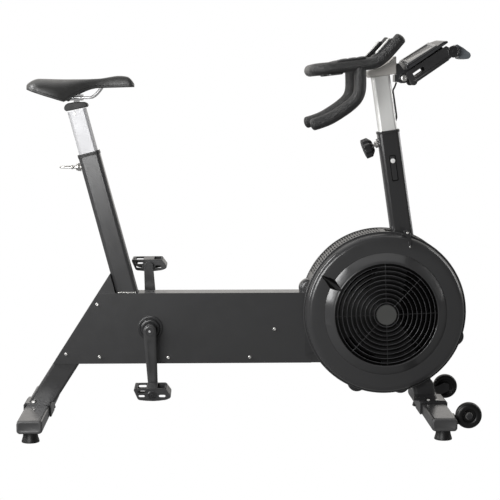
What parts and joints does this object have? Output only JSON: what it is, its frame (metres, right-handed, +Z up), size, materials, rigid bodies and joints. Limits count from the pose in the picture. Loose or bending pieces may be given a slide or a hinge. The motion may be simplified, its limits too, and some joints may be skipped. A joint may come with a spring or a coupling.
{
  "type": "air bike",
  "caption": "Fan-resistance exercise bike: raked beam frame, caged fan in front, post saddle at the back, foam-grip handlebar with a small console.",
  "frame": {"origin": "on the floor, under the middle of the machine", "axes": "+X to the front of the bike (the fan end), +Y to the rider's left, +Z up"},
  "size_m": [1.2988, 0.5106, 1.1256],
  "materials": {
    "frame_paint": "satin charcoal powder coat",
    "black_paint": "satin black",
    "black_plastic": "fine matt texture",
    "housing_plastic": "semi-gloss moulded",
    "mesh_plastic": "matt, perforated",
    "rubber": "matt",
    "brushed_aluminium": "brushed",
    "grey_casting": "satin casting",
    "foam_grip": "closed-cell foam",
    "vinyl": "grained vinyl",
    "steel": "zinc plated",
    "chrome": "bright",
    "screen": "unlit display",
    "smoke_plastic": "smoke grey"
  },
  "bodies": {
    "frame": {"rear_stabiliser": "frame_paint", "front_stabiliser": "frame_paint", "rear_right_end_cap": "black_plastic", "rear_left_end_cap": "black_plastic", "front_right_end_cap": "black_plastic", "front_left_end_cap": "black_plastic", "right_wheel_bracket": "black_paint", "left_wheel_bracket": "black_paint", "main_beam": "frame_paint", "right_side_cover": "frame_paint", "left_side_cover": "frame_paint", "rear_leg": "frame_paint", "seat_tube": "frame_paint", "seat_collar": "black_plastic", "mast": "frame_paint", "mast_collar": "black_plastic", "front_leg": "black_paint", "fan_fork": "black_paint", "right_bearing_cup": "black_plastic", "left_bearing_cup": "black_plastic", "drive_belt": "rubber", "right_grille": "housing_plastic", "left_grille": "housing_plastic", "right_fan_cover": "housing_plastic", "left_fan_cover": "housing_plastic", "guard_band": "mesh_plastic"},
    "crank": {"crank_axle": "steel", "drive_pulley": "black_plastic", "right_crank": "black_paint", "left_crank": "black_paint"},
    "pedal_right": {"right_pedal": "black_plastic"},
    "pedal_left": {"left_pedal": "black_plastic"},
    "fan": {"fan_wheel": "black_plastic", "fan_axle": "steel"},
    "damper": {"damper_ring": "housing_plastic"},
    "seat_riser": {"seat_post": "brushed_aluminium", "seat_head": "black_paint"},
    "seat_clamp": {"saddle_clamp": "black_paint"},
    "seat": {"saddle_rails": "chrome", "saddle": "vinyl"},
    "seat_pin": {"seat_pull_pin": "steel"},
    "bar_riser": {"handlebar_post": "brushed_aluminium", "stem": "grey_casting", "handlebar": "foam_grip", "console_bracket": "black_plastic", "console_cable": "rubber"},
    "bar_knob": {"mast_knob": "black_plastic"},
    "console": {"console_case": "black_plastic", "console_screen": "screen", "console_screw": "steel", "device_holder": "black_plastic"},
    "phone_arm": {"device_arm": "smoke_plastic"},
    "phone_knob": {"device_knob": "black_plastic"},
    "foot_rear_right": {"rear_right_foot": "rubber"},
    "foot_rear_left": {"rear_left_foot": "rubber"},
    "foot_front_right": {"front_right_foot": "rubber"},
    "foot_front_left": {"front_left_foot": "rubber"},
    "wheel_right": {"right_transport_wheel": "rubber"},
    "wheel_left": {"left_transport_wheel": "rubber"}
  },
  "joints": [
    {"name": "crank_spin", "type": "hinge", "parent": "frame", "child": "crank", "pos_m": [-0.283, 0, 0.2875], "axis": [0, 1, 0], "continuous": true},
    {"name": "pedal_right_spin", "type": "hinge", "parent": "crank", "child": "pedal_right", "pos_m": [-0.27437, -0.1475, 0.12273], "axis": [0, 1, 0], "continuous": true},
    {"name": "pedal_left_spin", "type": "hinge", "parent": "crank", "child": "pedal_left", "pos_m": [-0.29163, 0.1475, 0.45227], "axis": [0, 1, 0], "continuous": true},
    {"name": "fan_spin", "type": "hinge", "parent": "frame", "child": "fan", "pos_m": [0.391, 0, 0.334], "axis": [0, 1, 0], "continuous": true},
    {"name": "damper_turn", "type": "hinge", "parent": "frame", "child": "damper", "pos_m": [0.391, -0.0905, 0.334], "axis": [0, -1, 0], "range_deg": [-20, 40]},
    {"name": "seat_height", "type": "slide", "parent": "frame", "child": "seat_riser", "axis": [-0.2554, 0, 0.9668], "range_m": [-0.09, 0.06]},
    {"name": "saddle_tilt", "type": "hinge", "parent": "seat_riser", "child": "seat_clamp", "pos_m": [-0.49, 0, 0.928], "axis": [0, 1, 0], "range_deg": [-8, 8]},
    {"name": "saddle_fore_aft", "type": "slide", "parent": "seat_clamp", "child": "seat", "axis": [1, 0, 0], "range_m": [-0.018, 0.018]},
    {"name": "seat_pin_pull", "type": "slide", "parent": "frame", "child": "seat_pin", "axis": [-1, 0, 0], "range_m": [0, 0.012], "stiffness_N_per_m": 600, "springref_m": -0.008},
    {"name": "bar_height", "type": "slide", "parent": "frame", "child": "bar_riser", "axis": [-0.1461, 0, 0.9893], "range_m": [-0.02, 0.08]},
    {"name": "bar_knob_pull", "type": "slide", "parent": "frame", "child": "bar_knob", "axis": [-0.9272, 0, -0.3746], "range_m": [0, 0.01], "stiffness_N_per_m": 600, "springref_m": -0.008},
    {"name": "console_tilt", "type": "hinge", "parent": "bar_riser", "child": "console", "pos_m": [0.444, 0, 1.0038], "axis": [0, 1, 0], "range_deg": [-6, 20]},
    {"name": "phone_arm_slide", "type": "slide", "parent": "console", "child": "phone_arm", "axis": [0.824, 0, 0.5666], "range_m": [0, 0.02], "stiffness_N_per_m": 200, "springref_m": -0.01},
    {"name": "phone_knob_turn", "type": "hinge", "parent": "console", "child": "phone_knob", "pos_m": [0.58035, -0.0455, 1.07841], "axis": [0, -1, 0], "continuous": true},
    {"name": "foot_rear_right_screw", "type": "slide", "parent": "frame", "child": "foot_rear_right", "axis": [0, 0, -1], "range_m": [0, 0.01]},
    {"name": "foot_rear_left_screw", "type": "slide", "parent": "frame", "child": "foot_rear_left", "axis": [0, 0, -1], "range_m": [0, 0.01]},
    {"name": "foot_front_right_screw", "type": "slide", "parent": "frame", "child": "foot_front_right", "axis": [0, 0, -1], "range_m": [0, 0.01]},
    {"name": "foot_front_left_screw", "type": "slide", "parent": "frame", "child": "foot_front_left", "axis": [0, 0, -1], "range_m": [0, 0.01]},
    {"name": "wheel_right_spin", "type": "hinge", "parent": "frame", "child": "wheel_right", "pos_m": [0.612, -0.209, 0.064], "axis": [0, 1, 0], "continuous": true},
    {"name": "wheel_left_spin", "type": "hinge", "parent": "frame", "child": "wheel_left", "pos_m": [0.612, 0.209, 0.064], "axis": [0, 1, 0], "continuous": true}
  ],
  "couplings": [
    {"joint": "fan_spin", "follows": "crank_spin", "ratio": 3.52}
  ]
}
